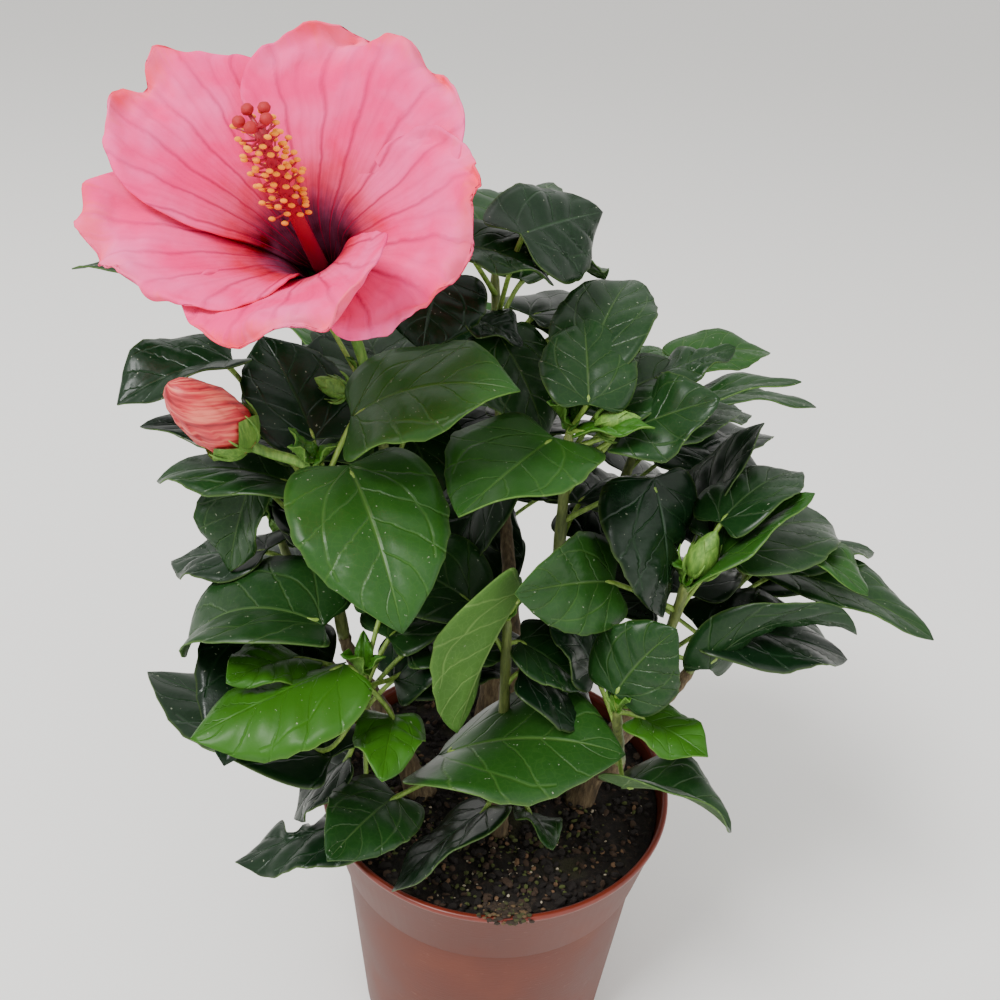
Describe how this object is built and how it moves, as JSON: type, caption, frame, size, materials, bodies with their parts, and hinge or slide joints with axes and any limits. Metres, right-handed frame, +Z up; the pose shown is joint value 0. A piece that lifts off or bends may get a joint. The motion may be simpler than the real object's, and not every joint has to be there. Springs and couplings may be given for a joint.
{
  "type": "potted hibiscus shrub",
  "caption": "Young hibiscus shrub in a round nursery pot, with woody stems, glossy leaves, an open flower and buds; stands on its flat underside.",
  "frame": {"origin": "on the table under the middle of the pot's flat underside", "axes": "+Z up, -Y towards the flower's side, +X to the right seen from there"},
  "size_m": [0.2741, 0.2113, 0.37],
  "materials": {
    "pot_plastic": "moulded terracotta-coloured polypropylene, dusty and lightly scuffed",
    "potting_soil": "dark peat with pale granules",
    "bark": "thin brown-grey bark, green on the young wood",
    "foliage": "waxy leaf, glossy above and paler beneath",
    "blossom": "thin satin petals, pink with a dark red throat",
    "blossom_bud": "rolled pink petals in a green calyx"
  },
  "bodies": {
    "root": {"pot": "pot_plastic", "soil": "potting_soil", "stem_left": "bark", "stem_centre": "bark", "stem_right": "bark", "stem_back": "bark", "stem_front": "bark", "bough_upper_left": "bark", "bough_upper_right": "bark", "bough_lower_left": "bark", "bough_lower_right": "bark", "bough_right": "bark", "bough_flower": "bark", "bough_tall": "bark", "bough_left": "bark", "bough_right_back": "bark", "bough_back_left": "bark", "bough_back_right": "bark", "bough_back_low": "bark", "bloom": "blossom", "opening_bud": "blossom_bud", "leaves_upper_left": "foliage", "leaves_upper_right": "foliage", "leaves_front": "foliage", "leaves_lower_left": "foliage", "leaves_lower_right": "foliage", "leaves_right": "foliage", "leaves_flower": "foliage", "leaves_tall": "foliage", "leaves_left": "foliage", "leaves_right_back": "foliage", "leaves_back_left": "foliage", "leaves_back_right": "foliage", "leaves_back_low": "foliage"}
  },
  "joints": []
}
